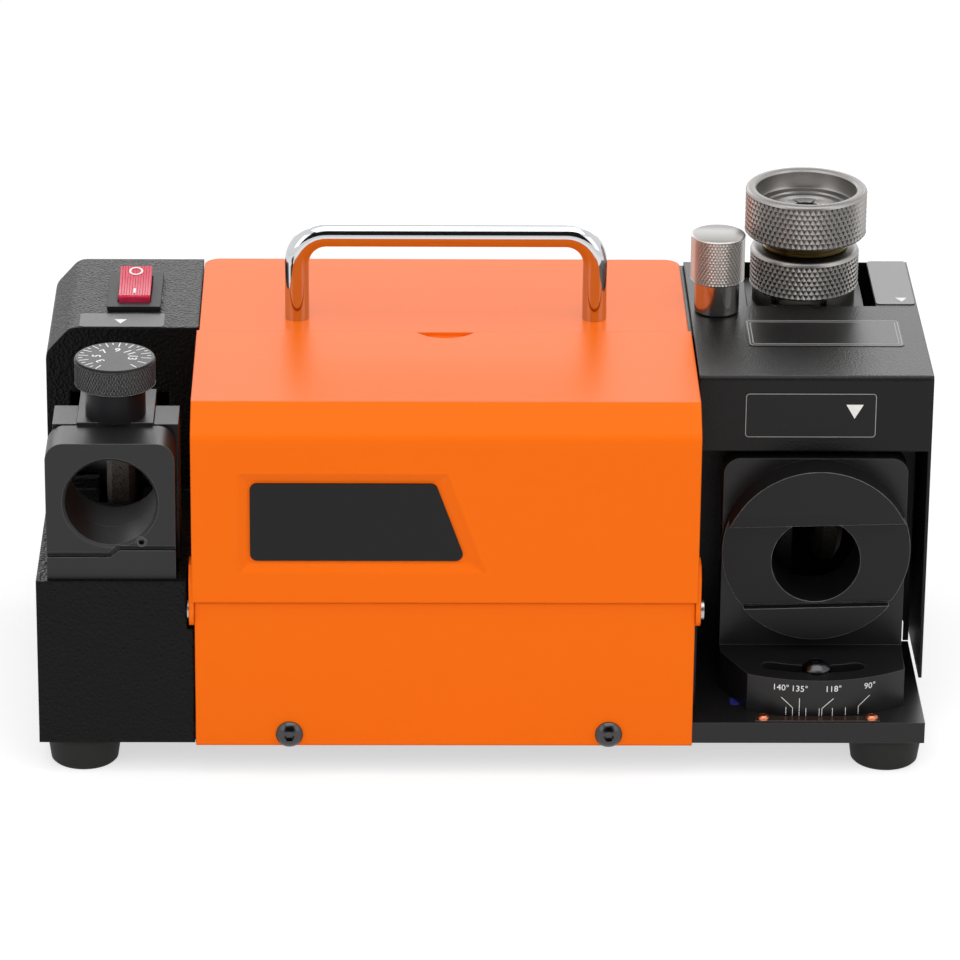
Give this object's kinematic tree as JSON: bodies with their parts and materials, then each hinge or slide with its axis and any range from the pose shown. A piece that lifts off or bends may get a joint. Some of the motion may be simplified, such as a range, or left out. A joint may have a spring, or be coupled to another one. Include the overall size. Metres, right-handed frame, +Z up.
{
  "type": "drill bit sharpener",
  "caption": "Bench drill bit sharpener: orange and black body with carry handle, web thinning station, swivelling point angle station and lip relief port holding a collet chuck.",
  "frame": {"origin": "centre of the bounding box, at the bottom of the feet", "axes": "+X to the machine's right along the motor shaft, +Y to the rear, +Z up"},
  "size_m": [0.32, 0.1678, 0.1788],
  "materials": {
    "plate_black": "semi-gloss black enamel",
    "rubber_black": "matt moulded rubber",
    "zinc_steel": "zinc plated fasteners",
    "crinkle_black": "crinkle powder coat",
    "sheet_black": "fine textured powder coat",
    "switch_black": "moulded nylon",
    "rocker_red": "translucent ribbed polycarbonate",
    "blackened_steel": "black oxide machined steel",
    "orange_coat": "orange powder coat",
    "chrome": "bright chrome plate",
    "bright_steel": "ground bright steel",
    "nickel_steel": "nickel plated, knurled",
    "phosphated_steel": "grey phosphated, knurled",
    "abrasive": "bonded abrasive rim on a hub",
    "die_cast": "raw die-cast aluminium",
    "electric_steel": "laminated core",
    "copper_winding": "enamelled winding",
    "copper_screw": "coppered screws and strip",
    "plastic_white": "capacitor can",
    "panel_black": "smooth black plate"
  },
  "bodies": {
    "machine": {"base_plate": "plate_black", "rubber_feet": "rubber_black", "foot_screws": "zinc_steel", "housing_screws": "zinc_steel", "web_base_screws": "zinc_steel", "scroll_pin": "zinc_steel", "flap_screws": "zinc_steel", "handle_screws": "zinc_steel", "knob_stud": "zinc_steel", "swivel_pin": "zinc_steel", "capacitor_clip": "zinc_steel", "left_housing": "crinkle_black", "switch_bezel": "switch_black", "cord_gland": "switch_black", "web_base": "blackened_steel", "panel_screws": "blackened_steel", "relief_block": "blackened_steel", "relief_bush": "blackened_steel", "motor_bearings": "bright_steel", "spare_collets": "bright_steel", "motor_frame": "die_cast", "motor_end_bells": "die_cast", "stator_core": "electric_steel", "stator_windings": "copper_winding", "motor_cradle": "sheet_black", "right_bulkhead": "sheet_black", "right_cover": "sheet_black", "wheel_guard": "sheet_black", "collet_rack": "sheet_black", "capacitor": "plastic_white", "rear_cover": "orange_coat", "front_panel": "orange_coat", "handle": "chrome", "index_strip": "copper_screw", "index_screws": "copper_screw"},
    "flap": {"front_flap": "orange_coat", "flap_panel": "panel_black"},
    "rocker": {"switch_rocker": "rocker_red"},
    "web_slide": {"web_block": "blackened_steel", "web_bar": "blackened_steel", "bar_dowels": "zinc_steel", "web_set_screw": "blackened_steel"},
    "web_dial": {"web_dial": "blackened_steel", "dial_spindle": "bright_steel"},
    "spindle": {"motor_shaft": "bright_steel", "rotor": "electric_steel", "cooling_fan": "switch_black", "left_wheel": "abrasive", "right_wheel": "abrasive", "wheel_flanges": "zinc_steel", "wheel_nuts": "zinc_steel"},
    "angle_station": {"angle_bracket": "crinkle_black", "guide_disc": "blackened_steel"},
    "lock_screw": {"angle_lock_screw": "blackened_steel"},
    "cover_knob": {"cover_knob": "nickel_steel"},
    "chuck_ring": {"chuck_ring": "phosphated_steel"},
    "chuck_barrel": {"chuck_barrel": "phosphated_steel", "chuck_collet": "bright_steel"},
    "chuck_nut": {"chuck_nut": "phosphated_steel"}
  },
  "joints": [
    {"name": "flap_hinge", "type": "hinge", "parent": "machine", "child": "flap", "pos_m": [-0.0148, -0.07685, 0.0635], "axis": [1, 0, 0], "range_deg": [0, 90]},
    {"name": "switch_press", "type": "hinge", "parent": "machine", "child": "rocker", "pos_m": [-0.1285, 0.03895, 0.1383], "axis": [1, 0, 0], "range_deg": [-16, 0]},
    {"name": "web_slide_travel", "type": "slide", "parent": "machine", "child": "web_slide", "axis": [0, 1, 0], "range_m": [-0.00125, 0.00125]},
    {"name": "web_dial_turn", "type": "hinge", "parent": "web_slide", "child": "web_dial", "pos_m": [-0.132, -0.05215, 0.1325], "axis": [0, 0, 1], "range_deg": [-150, 150]},
    {"name": "spindle_spin", "type": "hinge", "parent": "machine", "child": "spindle", "pos_m": [0, 0.02495, 0.0825], "axis": [1, 0, 0], "continuous": true},
    {"name": "angle_swivel", "type": "hinge", "parent": "machine", "child": "angle_station", "pos_m": [0.1194, -0.02005, 0.0275], "axis": [0, 0, 1], "range_deg": [-14, 11]},
    {"name": "lock_screw_turn", "type": "hinge", "parent": "machine", "child": "lock_screw", "pos_m": [0.1194, -0.06505, 0.0345], "axis": [0, 0, 1], "range_deg": [0, 180]},
    {"name": "cover_knob_turn", "type": "hinge", "parent": "machine", "child": "cover_knob", "pos_m": [0.0856, 0.02325, 0.1525], "axis": [0, 0, 1], "range_deg": [0, 360]},
    {"name": "chuck_lift", "type": "slide", "parent": "machine", "child": "chuck_ring", "axis": [0, 0, 1], "range_m": [0, 0.05]},
    {"name": "chuck_turn", "type": "hinge", "parent": "chuck_ring", "child": "chuck_barrel", "pos_m": [0.1194, 0.04845, 0.1525], "axis": [0, 0, 1], "range_deg": [-90, 90]},
    {"name": "chuck_nut_turn", "type": "hinge", "parent": "chuck_barrel", "child": "chuck_nut", "pos_m": [0.1194, 0.04845, 0.1675], "axis": [0, 0, 1], "range_deg": [0, 360]}
  ],
  "couplings": [
    {"joint": "web_dial_turn", "follows": "web_slide_travel", "rad_per_m": -2094.4}
  ]
}
